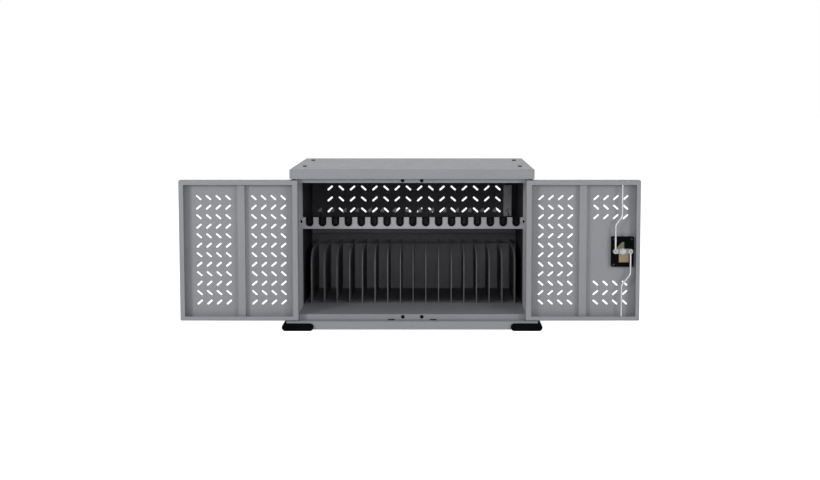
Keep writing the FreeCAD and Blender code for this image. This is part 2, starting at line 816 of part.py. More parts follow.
def make_power_strip():
    """The power strip hangs on the back panel under the lid, with a row of outlets in its front."""
    case = box("strip_case", across("strip_side"), ("strip_front", "back_inner"),
               ("strip_high - strip_height", "strip_high"))
    hollow = box("strip_hollow", across("strip_side - strip_wall"),
                 ("strip_front + strip_wall", "back_inner - strip_wall"),
                 ("strip_high - strip_height + strip_wall", "strip_high - strip_wall"))
    shell = cut("strip_shell", case, [hollow])
    half = "outlet_size / 2"
    middle = "strip_high - strip_height / 2"
    windows = []
    for index in range(OUTLET_COUNT):
        x = f"({index} - {(OUTLET_COUNT - 1) / 2}) * outlet_pitch"
        windows.append(box(f"outlet_window_{index + 1}", (f"{x} - {half}", f"{x} + {half}"),
                           ("strip_front - overrun", "strip_front + strip_wall"),
                           (f"{middle} - {half}", f"{middle} + {half}")))
    node(cut("power_strip", shell, windows))

    # One outlet is a square block with two upright contact slots and a round earth hole below them.
    edge = size("outlet_size")
    blade = size("blade_width")
    tall = size("blade_height")
    depth = size("contact_depth")
    drop = size("earth_drop")
    outlet = Part.makeBox(edge, size("outlet_depth"), edge, FreeCAD.Vector(-edge / 2, 0, -edge / 2))
    for middle in centred(2, size("blade_pitch")):
        corner = FreeCAD.Vector(middle - blade / 2, 0, drop - tall)
        outlet = outlet.cut(Part.makeBox(blade, depth, tall, corner))
    outlet = outlet.cut(Part.makeCylinder(size("earth_radius"), depth, FreeCAD.Vector(0, 0, -drop), Y_AXIS))
    level = size("strip_high") - size("strip_height") / 2
    columns = centred(OUTLET_COUNT, size("outlet_pitch"))
    spots = [shifted(x, size("strip_front"), level) for x in columns]
    node(shape_piece("strip_outlets", copies(outlet, spots)))


def make_inlet():
    """The power inlet on the back holds a three-pole socket, a rocker switch and a breaker button."""
    def wide(width):
        return (f"inlet_x - {width} / 2", f"inlet_x + {width} / 2")

    def tall(level, height):
        return (f"{level} - ({height}) / 2", f"{level} + ({height}) / 2")

    plate = box("inlet_plate_block", wide("inlet_width"), ("back_outer", "inlet_face"),
                tall("inlet_level", "inlet_height"))
    core = box("inlet_core", wide("core_width"), ("inlet_face - core_depth", "inlet_face"),
               tall("inlet_level", "core_height"))
    case = fuse("inlet_case", [plate, core])
    recess = box("inlet_recess", wide("socket_width"), ("inlet_face - socket_recess", "inlet_face + overrun"),
                 tall("socket_level", "socket_height"))
    pocket = box("rocker_pocket", wide("(rocker_width + 2 * run_gap)"),
                 ("inlet_face - rocker_inside - 2 * rocker_play", "inlet_face + overrun"),
                 tall("rocker_level", "rocker_height + 2 * rocker_play"))
    reach = "rocker_width / 2 + trunnion_length + run_gap"
    axle = cylinder("trunnion_hole", "x", "trunnion_radius + snug",
                    (f"inlet_x - ({reach})", "rocker_axis", "rocker_level"), f"2 * ({reach})")
    seat = fuse("rocker_seat", [pocket, axle])
    bore = cylinder("button_hole", "y", "button_radius + run_gap",
                    ("inlet_x", "inlet_face - button_bore", "button_level"), "button_bore + overrun")
    shell = cut("inlet_shell", case, [recess, seat, bore])
    contacts = []
    for index, rise in enumerate(("-contact_pitch", "0", "contact_pitch")):
        contacts.append(box(f"inlet_contact_{index + 1}", wide("contact_width"),
                            ("inlet_face - socket_recess", "inlet_face - socket_recess + contact_length"),
                            tall(f"(socket_level + {rise})", "contact_height")))
    node(fuse("power_inlet", [shell] + contacts))

    # The rocker is modelled switched off, leaning back about its two round trunnions.
    half = size("rocker_height") / 2
    outside = size("rocker_pivot") + size("rocker_outside")
    inside = size("rocker_pivot") - size("rocker_inside")
    corners = [(inside, -half), (outside, -half), (outside - size("rocker_dish"), 0), (outside, half),
               (inside, half), (inside, -half)]
    width = size("rocker_width")
    wire = Part.makePolygon([FreeCAD.Vector(-width / 2, y, z) for y, z in corners])
    length = width + 2 * size("trunnion_length")
    axle = Part.makeCylinder(size("trunnion_radius"), length, FreeCAD.Vector(-length / 2, 0, 0), X_AXIS)
    rocker = node(shape_piece("rocker_switch", Part.Face(wire).extrude(X_AXIS * width).fuse(axle)))
    rocker.Placement = FreeCAD.Placement(FreeCAD.Vector(), FreeCAD.Rotation(X_AXIS, size("rocker_tilt")))
    place(rocker, "inlet_x", "rocker_axis", "rocker_level")

    start = ("inlet_x", "inlet_face - button_inside", "button_level")
    node(cylinder("breaker_button", "y", "button_radius", start, "button_inside + button_outside"))


def make_magnets():
    """Round magnets, flush in the landing faces, hold the closed doors."""
    magnets = []
    for level in ("base_height + sill_height / 2", "opening_top + rail_height / 2"):
        for x in across("magnet_x"):
            name = f"magnet_{len(magnets) + 1}"
            magnets.append(cylinder(name, "y", "magnet_radius", (x, "landing", level), "magnet_depth"))
    node(group("door_magnets", magnets))


def make_hinge_pins():
    """Headed pins stand down from the top rail and up from the base into the doors."""
    pins = []
    for x in across("hinge_x"):
        for low, high, head in (
                ("door_high - bush_length", "lid_low + skin", "lid_low + skin"),
                ("base_height - skin", "door_low + bush_length", "base_height - skin - pin_head")):
            name = f"hinge_pin_{len(pins) + 1}"
            shank = cylinder(name + "_shank", "z", "pin_radius", (x, "hinge_y", low), f"({high}) - ({low})")
            cap = cylinder(name + "_cap", "z", "pin_head_radius", (x, "hinge_y", head), "pin_head")
            pins.append(fuse(name, [shank, cap]))
    node(group("hinge_pins", pins))


def make_back_screws():
    """A row of screws ties the back panel to the floor tray."""
    screws = []
    for index in range(BACK_SCREWS):
        name = f"back_screw_{index + 1}"
        x = screw_x(index)
        start = (x, "back_inner - skin", "screw_level")
        shank = cylinder(name + "_shank", "y", "screw_radius", start, "2 * skin")
        start = (x, "back_outer", "screw_level")
        head = cylinder(name + "_head", "y", "screw_head_radius", start, "screw_head")
        screws.append(fuse(name, [shank, head]))
    node(group("back_screws", screws))


def door_slots(name, side):
    """The slanted vents of a door in two fields, leaning alternately row by row and clear of the lock."""
    start = size("door_inner") - size("overrun")
    plug = slot_plug(size("slot_length"), size("slot_width"), size("skin") + 2 * size("overrun"))
    field_width = size("stiffener_reach") - size("hinge_field") - size("field_before")
    field_height = size("door_high") - size("door_low") - size("slot_drop") - size("slot_rise")
    columns = how_many(field_width, size("slot_pitch_x"))
    spots = []
    for row in range(how_many(field_height, size("slot_pitch_z"))):
        level = size("door_high") - size("slot_drop") - row * size("slot_pitch_z")
        lean = side if row % 2 == 0 else -side
        beside_lock = side > 0 and abs(level - size("cam_level")) < size("lock_clearing")
        for field in ("hinge_field", "free_field"):
            if beside_lock and field == "free_field":
                continue
            for column in range(columns):
                reach = size("hinge_x") + size(field) + column * size("slot_pitch_x")
                spots.append(slanted(side * reach, start, level, lean))
    return shape_piece(name + "_slots", copies(plug, spots))


def door_pan(name, side, reach, free_lip):
    """A door is a pan with return lips, open towards the front while the door stands open."""
    far = f"hinge_x + {reach}"
    blank = box(name + "_blank", span(side, "hinge_edge", far), ("front", "door_back"),
                ("door_low", "door_high"))
    bent = rounded(name + "_bent", blank, "door_bend", every_edge)
    hollow = box(name + "_hollow", span(side, "hinge_edge + skin", far + " - skin"),
                 ("front + skin", "door_inner"), ("door_low + skin", "door_high - skin"))
    shell = cut(name + "_shell", bent, [hollow])
    window = box(name + "_window", span(side, "hinge_edge + hinge_lip", f"{far} - {free_lip}"),
                 ("front - overrun", "front + 2 * skin"), ("door_low + bottom_lip", "door_high - top_lip"))
    pan = cut(name + "_frame", shell, [window])
    tools = [door_slots(name, side)]
    x = "hinge_x" if side > 0 else "-hinge_x"
    for end, low in (("top", "door_high - skin - overrun"), ("bottom", "door_low - overrun")):
        tools.append(cylinder(f"{name}_{end}_hole", "z", "bush_radius + snug", (x, "hinge_y", low),
                              "skin + 2 * overrun"))
    return pan, tools


def make_stiffener(name, side):
    """A hat channel stands inside the door from its bottom wall to its top wall."""
    crown = "stiffener_crown / 2"
    brim = "stiffener_crown / 2 + stiffener_flange"
    face = "door_inner - stiffener_depth"
    half = [(brim, "door_inner"), (brim, "door_inner - skin"), (crown, "door_inner - skin"), (crown, face)]
    inner = [(crown + " - skin", face + " + skin"), (crown + " - skin", "door_inner")]
    right = [(reach, y) for reach, y in half]
    left = [(f"-({reach})", y) for reach, y in reversed(half)]
    inside = [(f"-({reach})", y) for reach, y in reversed(inner)] + inner
    corners = right + left + inside
    hat = section(name, "XY_Plane", corners, "door_high - door_low - 2 * skin")
    place(hat, f"{side} * (hinge_x + stiffener_reach)", "0", "door_low + skin")
    node(hat)


def make_bushes(name, side):
    """Flanged bushes line the door's two pin holes."""
    x = "hinge_x" if side > 0 else "-hinge_x"
    bushes = []
    for end, low, flange in (("top", "door_high - bush_length", "door_high"),
                             ("bottom", "door_low", "door_low - bush_flange")):
        label = f"{name}_{end}"
        barrel = cylinder(label + "_barrel", "z", "bush_radius", (x, "hinge_y", low), "bush_length")
        collar = cylinder(label + "_collar", "z", "bush_flange_radius", (x, "hinge_y", flange), "bush_flange")
        solid = fuse(label + "_solid", [barrel, collar])
        bore = cylinder(label + "_bore", "z", "pin_radius + snug", (x, "hinge_y", low + " - overrun"),
                        "bush_length + 2 * overrun")
        bushes.append(cut(label, solid, [bore]))
    node(group(name, bushes))


def make_left_door():
    pan, tools = door_pan("left_pan", -1, "left_door_reach", "left_free_lip")
    node(cut("left_door_pan", pan, tools))
    make_stiffener("left_door_stiffener", -1)
    make_bushes("left_hinge_bushes", -1)


def make_right_door():
    pan, tools = door_pan("right_pan", 1, "right_door_reach", "right_free_lip")
    plug = slot_plug(size("rod_slot_length"), size("guide_width"), size("skin") + 2 * size("overrun"))
    lows = [size("door_low") - size("overrun"), size("door_high") - size("skin") - size("overrun")]
    spots = [shifted(size("rod_x"), size("rod_y"), low) for low in lows]
    tools.append(shape_piece("right_pan_rod_slots", copies(plug, spots)))
    start = "door_inner - overrun"
    through = "skin + 2 * overrun"
    tools.append(cylinder("skin_spindle_hole", "y", "spindle_bore", ("cam_x", start, "cam_level"), through))
    tools.append(cylinder("skin_plug_hole", "y", "plug_bore", ("key_x", start, "key_level"), through))
    node(cut("right_door_pan", pan, tools))
    make_stiffener("right_door_stiffener", 1)
    make_bushes("right_hinge_bushes", 1)


def about(middle, full):
    """The range of a full width about a middle."""
    return (f"{middle} - ({full}) / 2", f"{middle} + ({full}) / 2")


def housing_corners():
    """The four screw places of the lock housing."""
    reach = "housing_width / 2 - lock_screw_inset"
    rise = "housing_height / 2 - lock_screw_inset"
    return [(f"cam_x + {x} * ({reach})", f"housing_level + {z} * ({rise})") for x in (-1, 1) for z in (-1, 1)]


def make_lock_case():
    """The lock housing, its cylinder and screws inside the door, and the plate outside."""
    blank = box("housing_blank", about("cam_x", "housing_width"), ("housing_front", "door_inner"),
                about("housing_level", "housing_height"))
    bent = rounded("housing_bent", blank, "housing_bevel", along_y)
    start = ("cam_x", "housing_front - overrun", "cam_level")
    through = "door_inner - housing_front + 2 * overrun"
    tools = [cylinder("housing_spindle_hole", "y", "spindle_bore", start, through)]
    barrel_level = "(cam_level - bar_width / 2 - barrel_height / 2)"
    seat = (about("key_x", "barrel_width"), about(barrel_level, "barrel_height"))
    tools.append(box("housing_seat", seat[0], ("housing_front - overrun", "door_inner + overrun"), seat[1]))
    for index, (x, z) in enumerate(housing_corners()):
        tools.append(cylinder(f"housing_screw_hole_{index + 1}", "y", "lock_screw_radius + snug",
                              (x, "housing_front - overrun", z), "lock_screw_length + overrun"))
    node(cut("lock_housing", bent, tools))

    barrel = box("barrel_block", seat[0], ("housing_front", "door_inner"), seat[1])
    bore = cylinder("barrel_bore", "y", "plug_bore", ("key_x", "door_inner - plug_inside", "key_level"),
                    "plug_inside + overrun")
    node(cut("lock_cylinder", barrel, [bore]))

    screws = []
    for index, (x, z) in enumerate(housing_corners()):
        name = f"lock_screw_{index + 1}"
        start = (x, "housing_front - lock_screw_head", z)
        head = cylinder(name + "_head", "y", "lock_screw_head_radius", start, "lock_screw_head")
        start = (x, "housing_front", z)
        shank = cylinder(name + "_shank", "y", "lock_screw_radius", start, "lock_screw_length")
        screws.append(fuse(name, [head, shank]))
    node(group("lock_screws", screws))

    plate = box("plate_blank", about("cam_x", "plate_width"), ("door_back", "plate_face"),
                about("housing_level", "plate_height"))
    smooth = rounded("plate_smooth", plate, "plate_bend", along_y)
    start = "door_back - overrun"
    through = "plate_thickness + 2 * overrun"
    holes = [cylinder("plate_spindle_hole", "y", "spindle_bore", ("cam_x", start, "cam_level"), through),
             cylinder("plate_plug_hole", "y", "plug_bore", ("key_x", start, "key_level"), through)]
    node(cut("lock_plate", smooth, holes))


def make_key_plug():
    """The key turns this plug in the lock cylinder."""
    start = "door_inner - plug_inside + run_gap"
    plug = cylinder("plug_blank", "y", "plug_radius", ("key_x", start, "key_level"),
                    f"plate_face + plug_proud - ({start})")
    slot = box("plug_slot", about("key_x", "key_slot_width"),
               ("plate_face + plug_proud - key_slot_depth", "plate_face + plug_proud + overrun"),
               about("key_level", "key_slot_height"))
    node(cut("key_plug", plug, [slot]))


def make_cam():
    """The handle outside turns the spindle, the cam bar and its two pins inside."""
    node(cylinder("lock_spindle", "y", "spindle_radius", ("cam_x", "bar_front", "cam_level"),
                  "hub_start - bar_front"))

    start = ("cam_x", "hub_start", "cam_level")
    hub = cylinder("handle_hub_block", "y", "handle_hub_radius", start, "handle_hub")
    grip = box("grip_blank", about("cam_x", "grip_length"), ("hub_end", "hub_end + grip_depth"),
               about("cam_level", "grip_height"))
    soft = rounded("grip_soft", grip, "grip_bend", every_edge)
    neck = cylinder("handle_neck", "y", "grip_height / 2 - snug", start, "handle_hub + grip_depth / 2")
    node(fuse("lock_handle", [hub, soft, neck]))

    # The bar carries a lobe that slopes up to a flat crest above the spindle.
    sheet = size("bar_thickness")
    bar = slot_plug(size("pin_spread") + size("bar_width"), size("bar_width"), sheet)
    heel = -size("lobe_heel")
    toe = size("lobe_toe")
    rise = size("lobe_rise")
    corners = [(heel, 0), (toe, 0), (toe, rise), (toe - size("lobe_crest"), rise), (heel, size("lobe_low")),
               (heel, 0)]
    wire = Part.makePolygon([FreeCAD.Vector(x, -z, 0) for x, z in corners])
    lobe = Part.Face(wire).extrude(Z_AXIS * sheet)
    bore = Part.makeCylinder(size("spindle_bore"), sheet)
    flat = node(shape_piece("cam_bar", bar.fuse(lobe).removeSplitter().cut(bore)))
    flat.Placement = FreeCAD.Placement(FreeCAD.Vector(), TURNS["y"])
    place(flat, "cam_x", "bar_front", "cam_level")

    pins = []
    for x in ("cam_x - pin_spread / 2", "cam_x + pin_spread / 2"):
        name = f"cam_pin_{len(pins) + 1}"
        low = "rod_y - eye_thickness / 2 - run_gap"
        start = (x, low, "cam_level")
        shank = cylinder(name + "_shank", "y", "cam_pin_radius", start, f"bar_front - ({low})")
        start = (x, low + " - cam_pin_head", "cam_level")
        head = cylinder(name + "_head", "y", "cam_pin_head_radius", start, "cam_pin_head")
        pins.append(fuse(name, [shank, head]))
    node(group("cam_pins", pins))


def rod_shape(points):
    """A bent round rod through its corner points, with an eye at the first point for a cam pin."""
    bend = size("rod_bend")
    corners = [FreeCAD.Vector(x, size("rod_y"), z) for x, z in points]
    edges = []
    last = corners[0]
    for before, corner, after in zip(corners, corners[1:], corners[2:]):
        into = (corner - before).normalize()
        out = (after - corner).normalize()
        turn = into.getAngle(out)
        trim = bend * math.tan(turn / 2)
        start = corner - into * trim
        end = corner + out * trim
        middle = corner + (out - into).normalize() * (bend / math.cos(turn / 2) - bend)
        edges.append(Part.LineSegment(last, start).toShape())
        edges.append(Part.Arc(start, middle, end).toShape())
        last = end
    edges.append(Part.LineSegment(last, corners[-1]).toShape())
    path = Part.Wire(edges)
    along = (corners[1] - corners[0]).normalize()
    ring = Part.Wire([Part.makeCircle(size("rod_radius"), corners[0], along)])
    rod = path.makePipeShell([ring], True, False)
    half = FreeCAD.Vector(0, size("eye_thickness") / 2, 0)
    eye = Part.makeCylinder(size("eye_radius"), size("eye_thickness"), corners[0] - half, Y_AXIS)
    wide = half * 2
    bore = Part.makeCylinder(size("cam_pin_radius") + size("snug"), wide.y * 2, corners[0] - wide, Y_AXIS)
    return rod.fuse(eye).cut(bore)


def make_rods():
    """The two lock rods hang on the cam pins and leave the door through its top and bottom walls."""
    level = size("cam_level")
    line = size("rod_x")
    near = size("cam_x") - size("pin_spread") / 2
    far = size("cam_x") + size("pin_spread") / 2
    upper = [(near, level), (near, level + size("upper_jog_start")), (line, level + size("upper_jog_end")),
             (line, size("door_high") - size("rod_tip_inset"))]
    node(shape_piece("upper_rod", rod_shape(upper)))
    lower = [(far, level), (far, level - size("lower_jog_start")), (line, level - size("lower_jog_end")),
             (line, size("door_low") + size("rod_tip_inset"))]
    node(shape_piece("lower_rod", rod_shape(lower)))


def check_all():
    """Stop before anything is written if an object failed or a piece has no sound solid."""
    doc.recompute()
    for item in doc.Objects:
        if "Invalid" in item.State or "Error" in item.State:
            raise RuntimeError(f"{item.Label} failed: {item.State}")
    for item in nodes:
        if item.Shape.isNull() or not item.Shape.isValid() or not item.Shape.Solids:
            raise RuntimeError(f"{item.Label} has no sound shape")


make_lid()
make_side_panels()
make_back_panel()
make_base()
make_sill()
make_floor_tray()
make_top_rail()
make_posts()
make_liners()
make_feet()
make_shelf_and_comb()
make_dividers()
make_divider_rail()
make_clips()
make_power_strip()
make_inlet()
make_magnets()
make_hinge_pins()
make_back_screws()
make_left_door()
make_right_door()
make_lock_case()
make_key_plug()
make_cam()
make_rods()
check_all()

os.makedirs("parts", exist_ok=True)
for item in nodes:
    item.Shape.exportStep(f"parts/{item.Label}.step")
print(f"{len(nodes)} pieces written")
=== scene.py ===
import json
import math

import bmesh
import bpy
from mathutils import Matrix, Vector


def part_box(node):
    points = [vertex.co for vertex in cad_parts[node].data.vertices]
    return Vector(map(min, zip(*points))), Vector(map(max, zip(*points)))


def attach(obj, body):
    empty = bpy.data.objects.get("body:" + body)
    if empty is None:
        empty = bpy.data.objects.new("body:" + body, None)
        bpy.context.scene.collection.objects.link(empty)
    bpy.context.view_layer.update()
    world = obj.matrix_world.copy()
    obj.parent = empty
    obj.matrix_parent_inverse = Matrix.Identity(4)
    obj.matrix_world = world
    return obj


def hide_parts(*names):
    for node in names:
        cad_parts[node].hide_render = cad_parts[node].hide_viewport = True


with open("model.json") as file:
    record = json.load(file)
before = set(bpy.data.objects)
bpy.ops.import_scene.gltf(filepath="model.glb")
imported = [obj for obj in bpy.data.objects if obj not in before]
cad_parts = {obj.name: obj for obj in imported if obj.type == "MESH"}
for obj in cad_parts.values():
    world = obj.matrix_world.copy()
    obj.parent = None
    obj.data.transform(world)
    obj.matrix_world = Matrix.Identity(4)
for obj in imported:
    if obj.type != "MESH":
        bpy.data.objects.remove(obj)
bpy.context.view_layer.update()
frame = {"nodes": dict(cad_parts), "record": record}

# A charging cabinet with both doors open, on a white studio floor. All lengths are in metres.

NODES = frame["nodes"]
SLOT_OF = {row["node"]: row["material_slot"] for row in frame["record"]["subparts"]}

# The photograph's camera, a little to the right of the middle, with part of the photograph's shift as a tilt.
CAMERA_PLACE = Vector((0.0475, -3.105, 0.7045))
CAMERA_TILT = math.radians(3.945)
CAMERA_LENS = 46.373
CAMERA_SENSOR = 36.0
CAMERA_SHIFT = (-0.0234, -0.1093)

# Lamps: place, size and power, each aimed at the middle of the cabinet.
AIM = Vector((0.0, -0.1, 0.22))
LAMPS = {
    "left_lamp": (Vector((-2.5, -2.9, 1.2)), 1.0, 44.0),
    "right_lamp": (Vector((2.5, -3.0, 1.2)), 1.3, 33.0),
    "front_lamp": (Vector((0.1, -3.9, 0.95)), 1.6, 11.0),
    "top_lamp": (Vector((0.0, -0.4, 3.2)), 2.4, 23.0),
}
AMBIENT = 0.27
FLOOR_WHITE = (0.9, 0.9, 0.9, 1.0)
FLOOR_GLOW = 0.85
FLOOR_SIZE = 30.0

# Small pieces
BACK_SCREWS = 5
LOCK_SCREW_RADIUS = 0.003
BUMPER_SETBACK = 0.070
BUMPER_RISE = 0.028
SHARP_ANGLE = math.radians(35)

# Turned pieces, as rings of a radius, a height and a number of flats (0 for round).
# The rings of a screw are shares of its head's radius and height.
SCREW_RINGS = (
    (0.48, -1.0, 0), (0.48, 0.0, 0),  # shank
    (1.0, 0.0, 0), (1.0, 0.45, 0), (0.88, 0.80, 0), (0.62, 1.0, 0),  # head
    (0.5, 1.0, 6), (0.46, 0.35, 6),  # socket
)
NUT_RINGS = (
    (0.0085, 0.0, 0), (0.0085, 0.0007, 0),  # washer
    (0.0060, 0.0008, 6), (0.0062, 0.0012, 6), (0.0062, 0.0034, 6),  # nut
    (0.0054, 0.0039, 0), (0.0034, 0.0039, 0),  # its top
    (0.0031, 0.0046, 0), (0.0024, 0.0049, 0),  # end of the spindle
)
CAP_RINGS = (
    (0.0036, -0.0070, 0), (0.0042, -0.0062, 0), (0.0044, -0.0012, 0),  # plug
    (0.0044, -0.0004, 0), (0.0040, -0.0001, 0), (0.0030, -0.0003, 0), (0.0010, -0.0004, 0),  # dished top
)
BUMPER_RINGS = (
    (0.0022, -0.0040, 0), (0.0029, -0.0030, 0), (0.0029, 0.0001, 0),  # stem
    (0.0042, 0.0001, 0), (0.0043, 0.0024, 0), (0.0036, 0.0040, 0),  # head
    (0.0022, 0.0049, 0), (0.0008, 0.0052, 0),  # its round end
)

# Sections of closed hoops, as half lengths, half widths and heights.
COLLAR_SECTION = (
    (0.00545, 0.00545, -0.00258), (0.0060, 0.0060, -0.00258), (0.0060, 0.0060, -0.0007),
    (0.0058, 0.0058, -0.0002), (0.00545, 0.00545, -0.0001),
)
TRIM_SECTION = (
    (0.0088, 0.00375, -0.0035), (0.0091, 0.00405, -0.0035), (0.0091, 0.00405, 0.0001),
    (0.0102, 0.0048, 0.0001), (0.0102, 0.0048, 0.0007), (0.0098, 0.0045, 0.0010),
    (0.0090, 0.0040, 0.0010), (0.0088, 0.00375, 0.0006),
)

# Paint and plastic colours, as linear red, green and blue.
GREY = (0.285, 0.292, 0.312)
CHARCOAL = (0.058, 0.055, 0.064)
# Painted light: the back panel's inner face turns this much paler below the shelf, standing in for the light
# that reaches the lower bays.
BACK_PAINTED_LIGHT = (0.540, 0.528, 0.565)
# Painted shade: the divider rail is a paler copy of the charcoal coat, set to the dim tone of the shade at
# the top of the bays.
RAIL_PAINTED_SHADE = (0.150, 0.146, 0.158)
# Painted light: the floor tray is a much paler copy of the charcoal coat, so the floor of the bays reads as
# lit.
TRAY_PAINTED_LIGHT = (0.230, 0.220, 0.245)
# Painted light: the cable comb is a paler copy of the grey coat, as if lit from the front.
COMB_PAINTED_LIGHT = (0.380, 0.378, 0.400)
# Painted light: the posts are a much paler copy of the grey coat, as if their inner walls were lit from the
# side.
POST_PAINTED_LIGHT = (0.520, 0.525, 0.550)
# Painted light: the inlet box is much paler than its own dark plastic, so it reads as the lit patch at the
# right of the upper back.
INLET_PAINTED_LIGHT = (0.400, 0.392, 0.420)
LINER = (0.022, 0.021, 0.025)
DIVIDER = (0.170, 0.166, 0.180)
RUBBER = (0.004, 0.004, 0.005)
# Painted light and shade on the cable clips: the flag at the top is pale grey as if catching the light, and
# the stem below is near black as if in the comb's shade.
CLIP_FLAG_PAINTED_LIGHT = (0.19, 0.19, 0.20)
CLIP_STEM_PAINTED_SHADE = (0.016, 0.016, 0.018)
BLACK = (0.003, 0.003, 0.0036)
OUTLET = (0.030, 0.030, 0.032)
RED = (0.300, 0.016, 0.012)
STEEL = (0.36, 0.36, 0.375)
BRIGHT = (0.42, 0.42, 0.435)
BAR = (0.20, 0.20, 0.208)
BRASS = (0.075, 0.055, 0.030)
TAN = (0.21, 0.155, 0.10)
OLIVE = (0.10, 0.10, 0.066)


def tree_of(name, gloss=0.5):
    """A new node material with its tree and its principled shader."""
    material = bpy.data.materials.new(name)
    material.use_nodes = True
    tree = material.node_tree
    tree.nodes.clear()
    output = tree.nodes.new("ShaderNodeOutputMaterial")
    surface = tree.nodes.new("ShaderNodeBsdfPrincipled")
    surface.inputs["Specular IOR Level"].default_value = gloss
    tree.links.new(surface.outputs["BSDF"], output.inputs["Surface"])
    return material, tree, surface


def add(tree, kind, **settings):
    """A new node with some of its settings."""
    item = tree.nodes.new(kind)
    for name, value in settings.items():
        setattr(item, name, value)
    return item


def noise(tree, scale, detail=3.0, stretch=None):
    """Noise in the piece's own coordinates, perhaps stretched along some axes."""
    place = add(tree, "ShaderNodeTexCoord").outputs["Object"]
    if stretch:
        mapping = add(tree, "ShaderNodeMapping")
        mapping.inputs["Scale"].default_value = stretch
        tree.links.new(place, mapping.inputs["Vector"])
        place = mapping.outputs["Vector"]
    texture = add(tree, "ShaderNodeTexNoise")
    texture.inputs["Scale"].default_value = scale
    texture.inputs["Detail"].default_value = detail
    tree.links.new(place, texture.inputs["Vector"])
    return texture.outputs["Fac"]


def spread(tree, value, low, high, start=0.3, end=0.7):
    """A value stretched from one range to another."""
    item = add(tree, "ShaderNodeMapRange")
    item.inputs["From Min"].default_value = start
    item.inputs["From Max"].default_value = end
    item.inputs["To Min"].default_value = low
    item.inputs["To Max"].default_value = high
    tree.links.new(value, item.inputs["Value"])
    return item.outputs["Result"]


def times(tree, first, second):
    """The product of two values."""
    item = add(tree, "ShaderNodeMath", operation="MULTIPLY")
    tree.links.new(first, item.inputs[0])
    tree.links.new(second, item.inputs[1])
    return item.outputs["Value"]


def blend_colours(tree, share, first, second):
    """Two colours, or colour sockets, mixed by a share."""
    item = add(tree, "ShaderNodeMix", data_type="RGBA")
    tree.links.new(share, item.inputs["Factor"])
    sockets = [s for s in item.inputs if s.type == "RGBA"]
    for socket, colour in zip(sockets, (first, second)):
        if isinstance(colour, tuple):
            socket.default_value = (*colour, 1.0)
        else:
            tree.links.new(colour, socket)
    return [s for s in item.outputs if s.type == "RGBA"][0]


def shade(colour, factor):
    """A colour made lighter or darker."""
    return tuple(min(1.0, channel * factor) for channel in colour)


def edges(tree, radius):
    """A rounded normal, and a mask that is one along the sharp edges."""
    bevel = add(tree, "ShaderNodeBevel", samples=6)
    bevel.inputs["Radius"].default_value = radius
    flat = add(tree, "ShaderNodeNewGeometry").outputs["Normal"]
    dot = add(tree, "ShaderNodeVectorMath", operation="DOT_PRODUCT")
    tree.links.new(bevel.outputs["Normal"], dot.inputs[0])
    tree.links.new(flat, dot.inputs[1])
    return bevel.outputs["Normal"], spread(tree, dot.outputs["Value"], 1.0, 0.0, 0.80, 0.985)


def bump(tree, surface, height, strength, distance, normal=None):
    """Bump on the shader's normal."""
    item = add(tree, "ShaderNodeBump")
    item.inputs["Strength"].default_value = strength
    item.inputs["Distance"].default_value = distance
    tree.links.new(height, item.inputs["Height"])
    if normal:
        tree.links.new(normal, item.inputs["Normal"])
    tree.links.new(item.outputs["Normal"], surface.inputs["Normal"])


def above(tree, level, softness):
    """Zero below a height and one above it, in the piece's own coordinates."""
    split = add(tree, "ShaderNodeSeparateXYZ")
    tree.links.new(add(tree, "ShaderNodeTexCoord").outputs["Object"], split.inputs["Vector"])
    return spread(tree, split.outputs["Z"], 0.0, 1.0, level - softness, level + softness)


def painted_light_mask(tree, level, softness):
    """One on a face that looks to the front and lies below a height, and zero elsewhere: the mask of a
    painted light.
    """
    split = add(tree, "ShaderNodeSeparateXYZ")
    tree.links.new(add(tree, "ShaderNodeTexCoord").outputs["Normal"], split.inputs["Vector"])
    facing = spread(tree, split.outputs["Y"], 1.0, 0.0, -0.9, -0.5)
    painted_light_below = spread(tree, above(tree, level, softness), 1.0, 0.0, 0.0, 1.0)
    return times(tree, facing, painted_light_below)


def powder_coat(name, colour, roughness, edge_lift=1.25, gloss=0.3, painted_light_below=None):
    """Fine orange peel over sheet metal, slightly uneven in tone, paler where its edges are rubbed, perhaps
    with painted light on its front faces below a level.
    """
    material, tree, surface = tree_of(name, gloss)
    normal, edge = edges(tree, 0.0012)
    cloud = spread(tree, noise(tree, 7.0, 4.0), 0.0, 1.0)
    speck = spread(tree, noise(tree, 900.0, 2.0), 0.0, 1.0, 0.35, 0.65)
    paint = blend_colours(tree, cloud, shade(colour, 0.95), shade(colour, 1.05))
    grain = blend_colours(tree, speck, shade(colour, 0.93), shade(colour, 1.07))
    mixed = add(tree, "ShaderNodeMix", data_type="RGBA")
    colours = [s for s in mixed.inputs if s.type == "RGBA"]
    tree.links.new(paint, colours[0])
    tree.links.new(grain, colours[1])
    rubbed = times(tree, edge, spread(tree, noise(tree, 60.0, 5.0), 0.15, 0.9))
    coat = [s for s in mixed.outputs if s.type == "RGBA"][0]
    wear_and_painted_light = blend_colours(tree, rubbed, coat, shade(colour, edge_lift))
    # Painted light: front faces below a level turn to a paler colour.
    if painted_light_below:
        wear_and_painted_light = blend_colours(tree, painted_light_mask(tree, *painted_light_below[1:]), wear_and_painted_light, painted_light_below[0])
    tree.links.new(wear_and_painted_light, surface.inputs["Base Color"])
    sheen = spread(tree, noise(tree, 35.0), roughness - 0.05, roughness + 0.06)
    tree.links.new(sheen, surface.inputs["Roughness"])
    bump(tree, surface, noise(tree, 1300.0, 2.0), 0.22, 0.00012, normal)
    return material


